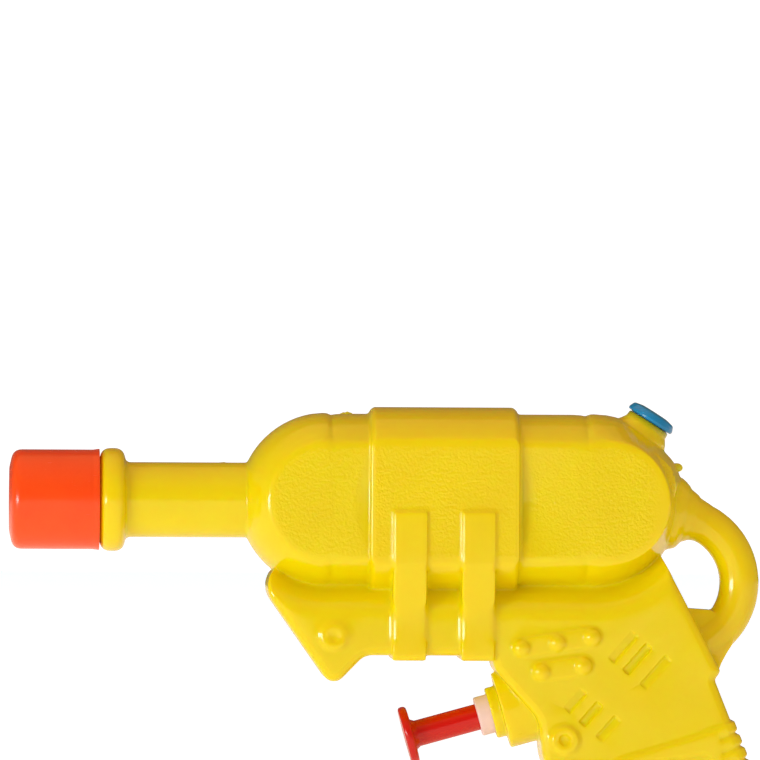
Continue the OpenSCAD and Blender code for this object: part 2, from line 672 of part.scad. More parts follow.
module delivery_tube() {
  m = len(tube_way);
  n = tube_sides;
  outer = [for (q = tube_way) each tube_ring(q, tube_r)];
  bore = [for (q = tube_way) each tube_ring(q, tube_r - tube_wall)];
  skin = [for (j = [0 : m - 2]) for (i = [0 : n - 1]) let (k = (i + 1) % n)
    each [[j * n + i, j * n + k, j * n + n + k], [j * n + i, j * n + n + k, j * n + n + i]]];
  lining = [for (f = skin) [f[2] + m * n, f[1] + m * n, f[0] + m * n]];
  ends = [for (i = [0 : n - 1]) let (k = (i + 1) % n, e = (m - 1) * n, b = m * n)
    each [[i, b + i, b + k], [i, b + k, k], [e + i, b + e + k, b + e + i], [e + i, e + k, b + e + k]]];
  color("#cfe3e6") polyhedron(concat(outer, bore), concat(skin, lining, ends));
}

module guide_bush() {
  color("#efe3dc") in_pump() rotate([0, 90, 0]) difference() {
    rotate_extrude() polygon([[rod_r + run, -bush_show], [bush_r - 0.4, -bush_show],
      [bush_r, -bush_show + 0.4], [bush_r, bush_seat + run], [cyl_r - fit, bush_seat + run],
      [cyl_r - fit, bush_seat + bush_flange], [rod_r + run, bush_seat + bush_flange]]);
    translate([0, 0, bush_seat + 0.5]) cylinder(r = rod_r + 1.5, h = bush_flange);
  }
}
module rod_seal() {
  color("#26282b") in_pump() translate([bush_seat + 1.25, 0, 0]) rotate([0, 90, 0])
    rotate_extrude() translate([rod_r + 0.78, 0]) circle(r = 0.68);
}
module pump_cylinder() {
  color("#f2efe6") in_pump() rotate([0, 90, 0]) difference() {
    translate([0, 0, cyl_s]) cylinder(r = cyl_r, h = cyl_end - cyl_s);
    translate([0, 0, cyl_s + lip_t]) cylinder(r = bore_r, h = cyl_end);
    translate([0, 0, 0]) cylinder(r = rod_r + 0.4, h = cyl_end);
  }
}
module valve_block() {
  color("#e6e3da") difference() {
    union() {
      in_pump() rotate([0, 90, 0]) {
        translate([0, 0, block_s]) cylinder(r = bore_r - run, h = cyl_end - block_s + 0.5);
        translate([0, 0, cyl_end + run]) cylinder(r = cyl_r, h = 1.6);
        translate([0, 0, cyl_end + 1]) cylinder(r = branch_r - 0.4, h = branch_s - cyl_end - 1);
      }
      in_branch() translate([0, 0, block_low]) cylinder(r = branch_r, h = block_top - block_low);
    }
    in_pump() translate([block_s - 1, 0, 0]) rotate([0, 90, 0])
      cylinder(r = port_r + 0.2, h = branch_s - block_s + 1);
    in_branch() {
      translate([0, 0, block_low - 1]) cylinder(r = head_r + run, h = inlet_seat - block_low + 1);
      translate([0, 0, inlet_seat - 0.5]) cylinder(r = chamber_r, h = inlet_roof - inlet_seat + 0.5);
      translate([0, 0, inlet_roof - 1]) cylinder(r = port_r, h = outlet_seat - inlet_roof + 2);
      translate([0, 0, outlet_seat]) cylinder(r = chamber_r, h = outlet_stop - outlet_seat + 0.5);
      translate([0, 0, outlet_stop]) cylinder(r = head_r + run, h = block_top);
    }
  }
}
module inlet_ball() {
  color("#b9c0c6") in_branch() translate([0, 0, inlet_ball_t]) sphere(r = ball_r);
}
module outlet_ball() {
  color("#b9c0c6") in_branch() translate([0, 0, outlet_ball_t]) sphere(r = ball_r);
}
// A flanged spigot with its head at the origin, pointing along +Z.
module spigot(head) {
  difference() {
    rotate_extrude() polygon([[0, 0], [head_r, 0], [head_r, head], [branch_r - 0.2, head],
      [branch_r - 0.2, head + spigot_flange], [spigot_r, head + spigot_flange],
      [spigot_r, head + spigot_flange + spigot_len], [0, head + spigot_flange + spigot_len]]);
    translate([0, 0, -1]) cylinder(r = 0.75, h = head + spigot_len + 4);
  }
}
module suction_spigot() {
  color("#e6e3da") in_branch() translate([0, 0, inlet_seat]) rotate([180, 0, 0]) difference() {
    spigot(inlet_seat - block_low + run);
    translate([0, 0, -0.5]) cylinder(r = port_r, h = 1.5);
  }
}
module outlet_spigot() {
  color("#e6e3da") in_branch() translate([0, 0, outlet_stop + run]) difference() {
    spigot(block_top - outlet_stop);
    translate([-chamber_r, -0.4, -0.5]) cube([2 * chamber_r, 0.8, 1.1]);
  }
}
suction_end = (grip_z + base_rise + 3.5 - pump_z - branch_s * sin(pump_tilt)) / cos(pump_tilt);
module suction_tube() {
  color("#cfe3e6") in_branch() translate([0, 0, suction_end])
    pipe(tube_r, tube_r - tube_wall, block_low - spigot_flange - run - fit - suction_end);
}

// The plunger's rear tang, which the piston takes.
tang_r = 1.5;
tang_len = piston_len - 1.2;
module trigger_plunger() {
  d0 = -bush_show - rod_bare - disc_t;
  d1 = d0 + disc_t;
  h = disc_t / 2;
  color("#cf1c12") in_pump() rotate([0, 90, 0])
    rotate_extrude() polygon([[0, d0 + 0.3], [0.63 * disc_r, d0 + 0.12], [disc_r - h, d0],
      [disc_r - 0.3 * h, d0 + 0.3 * h], [disc_r, d0 + h], [disc_r - 0.3 * h, d1 - 0.3 * h],
      [disc_r - h, d1], [rod_r + 1.0, d1 + 0.1], [rod_r + 0.3, d1 + 0.4], [rod_r, d1 + 1.1],
      [rod_r, piston_s - run], [tang_r, piston_s - run], [tang_r, piston_s + tang_len],
      [0, piston_s + tang_len]]);
}
seal_groove = bore_r - 1.15;
groove_from = 0.32 * piston_len;
groove_w = 1.3;
module piston() {
  g0 = piston_s + groove_from;
  g1 = g0 + groove_w;
  color("#f2efe6") in_pump() rotate([0, 90, 0]) difference() {
    rotate_extrude() polygon([[0, piston_s], [bore_r - 0.25, piston_s], [bore_r - 0.25, g0],
      [seal_groove, g0], [seal_groove, g1], [bore_r - 0.25, g1], [bore_r - 0.25, spring_s],
      [spring_in - 0.35, spring_s], [spring_in - 0.35, spring_s + 1.4], [0, spring_s + 1.4]]);
    translate([0, 0, piston_s - 1]) cylinder(r = tang_r + run, h = tang_len + 1.2);
  }
}
module piston_seal() {
  s = (bore_r - run - seal_groove - 0.02) / 2;
  color("#26282b") in_pump() translate([piston_s + groove_from + groove_w / 2, 0, 0]) rotate([0, 90, 0])
    rotate_extrude() translate([seal_groove + 0.02 + s, 0]) circle(r = s);
}

// The return spring: one helical wire between piston and valve block.
spring_mean = bore_r - 1.2;
spring_in = spring_mean - wire_r;
spring_from = spring_s + wire_r + 0.05;
spring_to = block_s - wire_r - 0.05;
helix_rings = 8 * curls;
function helix(u) = [spring_mean * cos(360 * curls * u), spring_mean * sin(360 * curls * u),
                     spring_from + (spring_to - spring_from) * u];
function helix_ring(j) =
  let (u = j / helix_rings, a = 360 * curls * u, out = [cos(a), sin(a), 0],
       t = unit(helix(u + 0.001) - helix(u - 0.001)), w = cross(t, out))
  [for (i = [0 : 5]) helix(u) + wire_r * (cos(60 * i) * out + sin(60 * i) * w)];
module return_spring() {
  sets = [for (j = [0 : helix_rings]) helix_ring(j)];
  sides = [for (j = [0 : helix_rings - 1]) for (i = [0 : 5])
    each [[j * 6 + i, j * 6 + (i + 1) % 6, (j + 1) * 6 + (i + 1) % 6],
          [j * 6 + i, (j + 1) * 6 + (i + 1) % 6, (j + 1) * 6 + i]]];
  color("#9aa1a6") in_pump() rotate([0, 90, 0])
    polyhedron([for (s = sets) each s],
               concat([[5, 4, 3, 2, 1, 0]], sides, [[for (i = [0 : 5]) helix_rings * 6 + i]]));
}
spring_gap = min([for (j = [0 : 8 * (curls - 1)]) for (k = [j + 6 : j + 10])
  if (k <= helix_rings) norm(helix(j / helix_rings) - helix(k / helix_rings))]) - 2 * wire_r;
echo(least_gap_of_spring_to_itself = spring_gap);

module filler_plug() {
  rim = inner_r + wall + neck_rise;
  top = rim + plug_step + plug_t;
  step_r = neck_bore + 0.5;
  color("#1683ad") in_filler() difference() {
    rotate_extrude() polygon([[0, rim - plug_stem], [neck_bore - 0.6, rim - plug_stem],
      [neck_bore - fit, rim - plug_stem + 0.8], [neck_bore - fit, rim + run], [step_r - 0.05, rim + run],
      [step_r + 0.05, rim + plug_step], [plug_r - 0.5, rim + plug_step],
      [plug_r - 0.1, rim + plug_step + 0.2], [plug_r, rim + plug_step + 0.5],
      [plug_r - 0.25, rim + plug_step + 0.9], [plug_r - 1.0, top - 0.35], [plug_r - 2.2, top - 0.1], [0, top]]);
    translate([0, 0, rim - plug_stem - 1]) cylinder(r = neck_bore - 1.1, h = plug_stem - 0.5);
  }
}

left_shell();
right_shell();
muzzle_cap();
nozzle_insert();
nozzle_seal();
delivery_tube();
pump_cylinder();
guide_bush();
rod_seal();
valve_block();
inlet_ball();
suction_spigot();
suction_tube();
outlet_ball();
outlet_spigot();
trigger_plunger();
piston();
piston_seal();
return_spring();
filler_plug();
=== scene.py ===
import json
import math

import bmesh
import bpy
import numpy as np
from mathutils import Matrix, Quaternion, Vector, noise


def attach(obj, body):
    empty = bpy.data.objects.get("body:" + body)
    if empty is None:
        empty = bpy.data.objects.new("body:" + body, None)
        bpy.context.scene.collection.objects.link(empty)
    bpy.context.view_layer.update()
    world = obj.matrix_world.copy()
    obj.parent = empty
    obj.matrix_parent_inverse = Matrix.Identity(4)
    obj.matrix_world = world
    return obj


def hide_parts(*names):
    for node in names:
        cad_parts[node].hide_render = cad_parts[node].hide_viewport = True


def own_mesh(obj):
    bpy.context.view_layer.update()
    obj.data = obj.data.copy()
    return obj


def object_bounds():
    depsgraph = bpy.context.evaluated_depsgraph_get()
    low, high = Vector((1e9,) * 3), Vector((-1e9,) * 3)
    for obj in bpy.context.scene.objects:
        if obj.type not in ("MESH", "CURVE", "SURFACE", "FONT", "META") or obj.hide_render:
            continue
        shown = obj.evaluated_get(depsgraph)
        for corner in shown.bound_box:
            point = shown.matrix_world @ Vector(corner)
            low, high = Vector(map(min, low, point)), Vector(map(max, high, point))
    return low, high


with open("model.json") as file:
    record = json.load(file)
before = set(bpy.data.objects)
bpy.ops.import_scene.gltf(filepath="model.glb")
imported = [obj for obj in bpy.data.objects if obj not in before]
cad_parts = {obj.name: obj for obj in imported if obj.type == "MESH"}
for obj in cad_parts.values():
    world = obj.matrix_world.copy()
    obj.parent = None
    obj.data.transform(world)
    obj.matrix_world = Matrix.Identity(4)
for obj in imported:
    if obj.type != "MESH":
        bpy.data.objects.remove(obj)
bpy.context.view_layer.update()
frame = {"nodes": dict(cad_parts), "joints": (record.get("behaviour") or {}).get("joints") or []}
nodes = frame["nodes"]
joints = {joint["name"]: joint for joint in frame["joints"]}
scene = bpy.context.scene
barrel_axis = (1, 0, 0)
pump_axis = joints["trigger_slide"]["axis"]
plug_axis = joints["plug_pull"]["axis"]

# Sizes of the object, in millimetres, in the frame's axes
MM = 0.001
# Tank: centres of its round ends, half widths over panels and sleeve, sleeve's ends, bands' left edges
FRONT_C, REAR_C = 63.1, 116.3
TANK_FLAT, SLEEVE_FLAT = 13.0, 14.05
SLEEVE_FROM, SLEEVE_TO, BAND_AT = 71.6, 101.2, (76.1, 89.8)
# Height of the frame under the tank, and how much further the tank's rear end reaches than the CAD solid
FRAME_Z, REAR_REACH = -30.7, 0.8
# Muzzle cap, whose front is domed and whose rear edge has a lip
CAP_R, CAP_LEN, CAP_BORE, CAP_FRONT, TIP_R = 9.95, 17.72, 8.15, 2.0, 2.5
CAP_DOME, CAP_LIP = 0.35, 0.14
# Trigger, bush and spring on the pump's axis, with stations measured along it from this point
PUMP_AT = (96.2, 0, -42.45)
ROD_R, DISC_R, DISC_BACK, DISC_T, ROD_END, TANG_R, TANG_END = 2.65, 5.95, -16.1, 1.8, 9.3, 1.5, 13.1
BUSH_R, BUSH_FRONT, BUSH_SEAT, BUSH_END, BUSH_FLANGE_R = 3.95, -2.7, 6.06, 8.0, 5.75
BUSH_BORE, SEAL_SEAT_R, SEAL_SEAT = ROD_R + 0.06, ROD_R + 1.5, BUSH_SEAT + 0.44
SPRING_R, WIRE_R, CURLS = 3.4, 0.33, 6
# Filler neck and plug, with stations measured along the plug's axis from the tank's middle line
# The neck's top, just under the plug, is painted darker and greener: painted shade with a painted cast of
# the blue plug
FILLER_AT, RIM, NECK_R, NECK_PAINTED_SHADE_FROM, NECK_PAINTED_SHADE_OVER = (REAR_C + 1.15, 0, 0), 19.0, 5.5, 17.6, 1.2
PLUG_R, PLUG_STEP_R, PLUG_STEP, PLUG_T, PLUG_STEM_R, PLUG_STEM = 5.05, 4.2, 0.15, 2.1, 3.6, 5.0

# Look of the moulding
VOXEL = 0.25 * MM
DISH_FADE, DISH_LEN, DISH_DEEP, DISH_HALF = 105.0, 8.0, 0.95, 13.0
PIT_DEPTH = 1.15
SCATTER_RADIUS, SCATTER_SCALE = (1.0, 0.5, 0.03), 0.0022
MOST_FACES = 185000
# Smoothing passes for each zone of the shells
BASE_PASSES, MARK_PASSES = 4.0, 1.0
PANEL_PASSES, GROOVE_PASSES, GRIP_PASSES, DIP_PASSES = 26, 40, 30, 30
BAND_PASSES, COLLAR_PASSES, ROOT_PASSES = 6, 14, 2


def linear(value):
    """A colour channel from 0 to 255, as the renderer counts it."""
    c = value / 255
    return c / 12.92 if c <= 0.04045 else ((c + 0.055) / 1.055) ** 2.4


def colour(r, g, b):
    """A colour from its channels from 0 to 255."""
    return (linear(r), linear(g), linear(b), 1)


# Node helpers
def add(tree, kind, **values):
    """A shader node with its inputs set by name, or linked where a socket is given."""
    made = tree.nodes.new(kind)
    for name, value in values.items():
        if name in ("operation", "attribute_name"):
            setattr(made, name, value)
            continue
        socket = made.inputs[int(name[1:]) if name[0] == "i" and name[1:].isdigit() else name]
        if isinstance(value, bpy.types.NodeSocket):
            tree.links.new(value, socket)
        else:
            socket.default_value = value
    return made


def math_node(tree, operation, a, b):
    return add(tree, "ShaderNodeMath", operation=operation, i0=a, i1=b).outputs[0]


def ramp(tree, value, low, high, to_low, to_high):
    """The value moved from one range to another, and held at its ends."""
    made = add(tree, "ShaderNodeMapRange", Value=value)
    for name, number in (("From Min", low), ("From Max", high), ("To Min", to_low), ("To Max", to_high)):
        made.inputs[name].default_value = number
    return made.outputs[0]


def mix(tree, share, a, b):
    """A blend of two colours."""
    made = tree.nodes.new("ShaderNodeMix")
    made.data_type = "RGBA"
    for socket, value in ((made.inputs[0], share), (made.inputs[6], a), (made.inputs[7], b)):
        if isinstance(value, bpy.types.NodeSocket):
            tree.links.new(value, socket)
        else:
            socket.default_value = value
    return made.outputs[2]


def noise_at(tree, place, scale, detail=2.0, rough=0.5):
    made = add(tree, "ShaderNodeTexNoise", Vector=place, Scale=scale, Detail=detail, Roughness=rough)
    return made.outputs["Fac"]


def new_material(name):
    made = bpy.data.materials.new(name)
    made.use_nodes = True
    return made, made.node_tree, made.node_tree.nodes["Principled BSDF"]


def plastic(name, base, deep, rough, peel, scatter=0.0, spark=False, tint=None):
    """Moulded plastic: mottled colour, uneven gloss, a faint orange peel and fine rub marks."""
    made, tree, shader = new_material(name)
    place = add(tree, "ShaderNodeTexCoord").outputs["Object"]
    cloud = noise_at(tree, place, 90.0, 3.0)
    grain = noise_at(tree, place, 1500.0, 2.0)
    stretch = add(tree, "ShaderNodeMapping", Vector=place, Scale=(500, 500, 4000)).outputs[0]
    rubs = ramp(tree, noise_at(tree, stretch, 1.0, 4.0, 0.6), 0.62, 0.78, 0.0, 1.0)
    cloudy, grainy = math_node(tree, "MULTIPLY", cloud, 0.8), math_node(tree, "MULTIPLY", grain, 0.2)
    share = math_node(tree, "ADD", cloudy, grainy)
    shade = mix(tree, ramp(tree, share, 0.3, 0.7, 0.0, 1.0), base, deep)
    uneven = ramp(tree, cloud, 0.3, 0.7, rough - 0.05, rough + 0.05)
    uneven = math_node(tree, "ADD", uneven, math_node(tree, "MULTIPLY", rubs, 0.10))
    height = math_node(tree, "MULTIPLY", noise_at(tree, place, 420.0, 2.0), peel)
    if spark:
        field = add(tree, "ShaderNodeAttribute", attribute_name="spark").outputs["Fac"]
        pits = noise_at(tree, place, 1900.0, 1.0)
        deep_pits = math_node(tree, "MULTIPLY", field, PIT_DEPTH)
        height = math_node(tree, "ADD", height, math_node(tree, "MULTIPLY", pits, deep_pits))
        uneven = math_node(tree, "ADD", uneven, math_node(tree, "MULTIPLY", field, 0.06))
    # Painted shade and cast: the colour is blended towards the tint wherever the tint field is set
    if tint:
        field = add(tree, "ShaderNodeAttribute", attribute_name="tint").outputs["Fac"]
        shade = mix(tree, field, shade, tint)
    bump = add(tree, "ShaderNodeBump", Strength=1.0, Distance=0.0001, Height=height)
    tree.links.new(shade, shader.inputs["Base Color"])
    tree.links.new(uneven, shader.inputs["Roughness"])
    tree.links.new(bump.outputs[0], shader.inputs["Normal"])
    shader.inputs["IOR"].default_value = 1.5
    if scatter:
        shader.inputs["Subsurface Weight"].default_value = scatter
        shader.inputs["Subsurface Radius"].default_value = SCATTER_RADIUS
        shader.inputs["Subsurface Scale"].default_value = SCATTER_SCALE
    return made


def rubber(name):
    """Black rubber with a grey bloom."""
    made, tree, shader = new_material(name)
    place = add(tree, "ShaderNodeTexCoord").outputs["Object"]
    bloom = noise_at(tree, place, 900.0, 4.0)
    tree.links.new(mix(tree, bloom, colour(26, 27, 29), colour(46, 47, 49)), shader.inputs["Base Color"])
    tree.links.new(ramp(tree, bloom, 0.3, 0.7, 0.55, 0.75), shader.inputs["Roughness"])
    return made


def steel(name):
    """Bright wire steel with drawing marks."""
    made, tree, shader = new_material(name)
    place = add(tree, "ShaderNodeTexCoord").outputs["Object"]
    stretch = add(tree, "ShaderNodeMapping", Vector=place, Scale=(300, 300, 6000)).outputs[0]
    drawn = noise_at(tree, stretch, 1.0, 3.0)
    shade = mix(tree, drawn, colour(170, 175, 180), colour(205, 208, 212))
    tree.links.new(shade, shader.inputs["Base Color"])
    tree.links.new(ramp(tree, drawn, 0.3, 0.7, 0.18, 0.34), shader.inputs["Roughness"])
    shader.inputs["Metallic"].default_value = 1.0
    return made


# The yellow's tint is painted shade with a painted cast of the blue plug, laid on the neck under the plug
YELLOW = plastic("yellow_moulding", colour(238, 224, 5), colour(235, 218, 4), 0.14, 0.05, 0.6,
                 spark=True, tint=colour(150, 160, 8))
# The flash's greener yellow is painted light: it stands for light shining through the thin plastic
FLASH = plastic("flash_moulding", colour(222, 224, 30), colour(214, 218, 24), 0.3, 0.2, 0.5)
ORANGE = plastic("orange_moulding", colour(255, 86, 18), colour(250, 76, 12), 0.20, 0.05, 0.35)
BLUE = plastic("blue_moulding", colour(2, 150, 224), colour(1, 136, 212), 0.20, 0.10)
RED = plastic("red_moulding", colour(210, 14, 3), colour(200, 10, 2), 0.18, 0.08)
PALE = plastic("pale_moulding", colour(240, 218, 222), colour(235, 210, 214), 0.42, 0.3)
WHITE = plastic("white_moulding", colour(238, 236, 228), colour(230, 227, 218), 0.45, 0.3)
TUBE = plastic("milky_tube", colour(214, 228, 230), colour(204, 220, 224), 0.30, 0.2)
RUBBER = rubber("seal_rubber")
STEEL = steel("spring_steel")

INNER_LOOKS = {
    "nozzle_insert": WHITE, "pump_cylinder": WHITE, "valve_block": WHITE, "suction_spigot": WHITE,
    "outlet_spigot": WHITE, "piston": WHITE, "delivery_tube": TUBE, "suction_tube": TUBE,
    "nozzle_seal": RUBBER, "rod_seal": RUBBER, "piston_seal": RUBBER,
    "inlet_ball": STEEL, "outlet_ball": STEEL, "return_spring": STEEL,
}
for node, look in INNER_LOOKS.items():
    nodes[node].data.materials.clear()
    nodes[node].data.materials.append(look)


# Piece helpers
def new_piece(name, mesh, look, body, replaced=None):
    """A visible piece that rides on a body and may stand for a CAD node."""
    piece = bpy.data.objects.new(name, mesh)
    scene.collection.objects.link(piece)
    mesh.materials.clear()
    mesh.materials.append(look)
    mesh.polygons.foreach_set("use_smooth", [True] * len(mesh.polygons))
    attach(piece, body)
    if replaced:
        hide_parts(replaced)
    return piece


def applied(piece):
    """The piece's mesh after its modifiers, which are then dropped."""
    bpy.context.view_layer.update()
    made = bpy.data.meshes.new_from_object(piece.evaluated_get(bpy.context.evaluated_depsgraph_get()))
    piece.modifiers.clear()
    return made


def points_of(mesh):
    co = np.empty(len(mesh.vertices) * 3, np.float32)
    mesh.vertices.foreach_get("co", co)
    return co.reshape(-1, 3).astype(float)


def set_points(mesh, co):
    mesh.vertices.foreach_set("co", co.astype(np.float32).ravel())
    mesh.update()


def set_field(mesh, name, values):
    """Stores a number for each point, for the materials to read."""
    mesh.attributes.new(name, "FLOAT", "POINT").data.foreach_set("value", values.astype(np.float32))


def mesh_of(bm, name):
    """The mesh of a finished shape, with its faces turned outwards."""
    bmesh.ops.recalc_face_normals(bm, faces=bm.faces)
    mesh = bpy.data.meshes.new(name)
    bm.to_mesh(mesh)
    bm.free()
    return mesh


def skin(bm, rows):
    """Joins rings of the same number of points with faces, and closes both ends."""
    count = len(rows[0])
    for one, two in zip(rows, rows[1:]):
        for k in range(count):
            bm.faces.new((one[k], one[(k + 1) % count], two[(k + 1) % count], two[k]))
    bm.faces.new(rows[0][::-1])
    bm.faces.new(rows[-1])


# The two half shells: copies of the CAD halves with the soft edges and corners of a mould
def near(value, low, high, blend):
    """1 where the value lies between two limits, falling to 0 over the blend outside them."""
    return np.clip(np.minimum(value - low, high - value) / blend + 1, 0, 1)


def softness(co):
    """How many smoothing passes each point gets: few on marks and edges, many in the soft corners."""
    x, y, z = co.T / MM
    y = np.abs(y)
    passes = np.full(len(co), BASE_PASSES)
    # Raised marks on the grip's upper side
    marks = near(x, REAR_C - 18, REAR_C + 15, 1) * near(z, FRAME_Z - 17.5, FRAME_Z + 6.5, 1) * (y > 9.8)
    passes -= (BASE_PASSES - MARK_PASSES) * marks
    # Rounded border of the side panels
    reach = np.hypot(x - np.clip(x, FRONT_C, REAR_C), z)
    off_ends = 1 - np.maximum(near(x, SLEEVE_FROM - 0.8, SLEEVE_FROM + 0.8, 0.5),
                              near(x, SLEEVE_TO - 0.8, SLEEVE_TO + 0.8, 0.5))
    passes += PANEL_PASSES * near(reach, 10.6, 13.4, 0.8) * near(y, 11.6, 14.3, 0.5) * off_ends
    # Waist groove between tank and frame
    groove = near(z, -27.5, -15.5, 1.0) * near(x, 48, 132, 2) * near(y, 3, 12.4, 0.4)
    passes += GROOVE_PASSES * groove * off_ends * (1 - marks)
    # Front edges of the grip, which leans back
    front = near(x, 98, 116, 1) * near(z, -82, FRAME_Z - 15, 2) * (y > 5)
    passes += GRIP_PASSES * front * near(x + 0.31 * (z + 62), 98, 109.5, 1)
    # Shallow dips where the tank's round ends begin
    dips = np.maximum(near(x, FRONT_C - 2, FRONT_C + 3, 1), near(x, REAR_C - 3, REAR_C + 2, 1))
    passes += DIP_PASSES * dips * near(np.hypot(y, z), 12.4, 19, 0.5) * near(z, -17.5, 17.5, 0.4)
    # Left edges of the bands, the collar behind the cap and the root of the loop
    for edge in BAND_AT:
        passes += BAND_PASSES * near(x, edge - 0.7, edge + 0.9, 0.3) * near(z, -13, -3.5, 1) * (y > 13.6)
    passes += COLLAR_PASSES * near(x, 17.0, 24.0, 0.5) * (np.hypot(y, z) > 8)
    passes += ROOT_PASSES * (near(x, 131, 139, 1) * near(z, -13, 6, 1))
    return np.round(passes)


def relaxed(mesh):
    """The mesh's points after zoned smoothing; points on the seam stay in its plane."""
    co = points_of(mesh)
    ends = np.empty(len(mesh.edges) * 2, np.int32)
    mesh.edges.foreach_get("vertices", ends)
    a, b = ends[0::2], ends[1::2]
    count = np.bincount(ends, minlength=len(co))
    seam = np.abs(co[:, 1]) < 0.3 * VOXEL
    passes = softness(co)
    for done in range(int(passes.max())):
        moving = passes > done
        keep = moving[a] | moving[b]
        a, b = a[keep], b[keep]
        for k in (0, 1, 2):
            total = np.bincount(a, co[b, k], len(co)) + np.bincount(b, co[a, k], len(co))
            co[moving, k] += 0.5 * (total[moving] / count[moving] - co[moving, k])
        co[seam, 1] = 0
    return co


def dish_depth(x, z):
    """How deep the side panel is dished behind the sleeve."""
    along = np.clip(1 - (x - DISH_FADE) / DISH_LEN, 0, 1) * (x > SLEEVE_TO + 0.5)
    return DISH_DEEP * along * np.clip(1 - (z / DISH_HALF) ** 2, 0, 1)


def side_panel(co):
    """1 on the tank's flat side panels, which have a spark texture, and 0 elsewhere."""
    x, y, z = np.abs(co.T / MM)
    reach = np.hypot(x - np.clip(x, FRONT_C, REAR_C + 2.8), z)
    inside = np.clip((11.6 - reach) / 0.8, 0, 1)
    sleeve = (x > SLEEVE_FROM + 0.7) & (x < SLEEVE_TO - 0.7)
    face = np.where(sleeve, SLEEVE_FLAT, TANK_FLAT - dish_depth(x, z))
    return inside * np.clip((0.35 - np.abs(y - face)) / 0.2, 0, 1)


def half_shell(node):
    """A half shell: the CAD half in small even faces, softened, reshaped a little and thinned out again."""
    piece = bpy.data.objects.new(node + "_draft", nodes[node].data.copy())
    scene.collection.objects.link(piece)
    remesh = piece.modifiers.new("remesh", "REMESH")
    remesh.mode = "VOXEL"
    remesh.voxel_size = VOXEL
    mesh = applied(piece)
    co = relaxed(mesh)
    x, y, z = co.T / MM
    co[:, 0] += REAR_REACH * MM * near(z, 4.0, 7.5, 3.0) * near(x, 130.0, 140.0, 2.5) * (np.abs(y) < 9)
    co[:, 1] -= np.sign(y) * MM * dish_depth(x, z) * near(np.abs(y), 10.0, 14.0, 1.0)
    set_points(mesh, co)
    piece.data = mesh
    thin = piece.modifiers.new("thin", "DECIMATE")
    thin.ratio = min(1.0, MOST_FACES / (2 * len(mesh.polygons)))
    mesh = applied(piece)
    bpy.data.objects.remove(piece)
    co = points_of(mesh)
    set_field(mesh, "spark", side_panel(co))
    # The tint field marks the neck's top under the plug, where the painted shade and the plug's painted cast
    # go
    neck, way = np.array(FILLER_AT) * MM, np.array(plug_axis)
    up = (co - neck) @ way
    off = np.linalg.norm(co - neck - np.outer(up, way), axis=1)
    set_field(mesh, "tint", np.clip((up / MM - NECK_PAINTED_SHADE_FROM) / NECK_PAINTED_SHADE_OVER, 0, 1) * (off < NECK_R * MM))
    new_piece(node + "_moulded", mesh, YELLOW, "housing", node)


for half in ("left_shell", "right_shell"):
    half_shell(half)


# Turned pieces
def softened(profile, steps=6):
    """A closed outline of (radius, station, rounding) corners as points with round corners."""
    made = []
    for i, (r, s, fillet) in enumerate(profile):
        here = Vector((r, s))
        before = Vector(profile[i - 1][:2]) - here
        after = Vector(profile[(i + 1) % len(profile)][:2]) - here
        if fillet == 0 or before.length < 1e-9 or after.length < 1e-9:
            made.append(here)
            continue
        angle = before.angle(after)
        back = min(fillet / math.tan(angle / 2), 0.48 * before.length, 0.48 * after.length)
        start, end = here + before.normalized() * back, here + after.normalized() * back
        for k in range(steps + 1):
            t = k / steps
            made.append(start * (1 - t) ** 2 + here * 2 * t * (1 - t) + end * t * t)
    return made


def turned(profile, at, axis, turns=120):
    """A mesh of a closed outline turned round an axis; both are in millimetres."""
    outline = softened(profile)
    w = Vector(axis).normalized()
    u = Vector((0, 1, 0))
    v = w.cross(u)
    bm = bmesh.new()
    rings = []
    for p in outline:
        if p.x < 1e-6:
            rings.append([bm.verts.new((Vector(at) + w * p.y) * MM)])
            continue
        angles = [2 * math.pi * k / turns for k in range(turns)]
        rings.append([bm.verts.new((Vector(at) + w * p.y + (u * math.cos(t) + v * math.sin(t)) * p.x) * MM)
                      for t in angles])
    for i, ring in enumerate(rings):
        after = rings[(i + 1) % len(rings)]
        if len(ring) == 1 and len(after) == 1:
            continue
        for k in range(turns):
            n = (k + 1) % turns
            corners = [ring[k % len(ring)], after[k % len(after)]]
            corners += [after[n % len(after)], ring[n % len(ring)]]
            bm.faces.new(list(dict.fromkeys(corners)))
    return mesh_of(bm, "turned")


cap_outline = [(TIP_R, -CAP_DOME, 0.2), (6.4, -0.3, 4.0), (CAP_R, 0.5, 2.3), (CAP_R, CAP_LEN - 1.3, 0.8),
               (CAP_R + CAP_LIP, CAP_LEN - 0.35, 0.2), (CAP_R + CAP_LIP, CAP_LEN, 0.12),
               (CAP_BORE, CAP_LEN, 0.2), (CAP_BORE, CAP_FRONT, 0.4), (TIP_R, CAP_FRONT, 0.2)]
new_piece("muzzle_cap_moulded", turned(cap_outline, (0, 0, 0), barrel_axis), ORANGE, "housing",
          "muzzle_cap")

disc_front = DISC_BACK - DISC_T
plunger_outline = [(0, disc_front + 0.35, 0), (DISC_R - 2.0, disc_front + 0.12, 2.0),
                   (DISC_R, disc_front, 0.85), (DISC_R, DISC_BACK, 0.85), (ROD_R + 0.55, DISC_BACK, 0.3),
                   (ROD_R, DISC_BACK + 0.9, 0.5), (ROD_R, ROD_END, 0.2), (TANG_R, ROD_END, 0.1),
                   (TANG_R, TANG_END, 0.2), (0, TANG_END, 0)]
new_piece("trigger_moulded", turned(plunger_outline, PUMP_AT, pump_axis), RED, "trigger",
          "trigger_plunger")

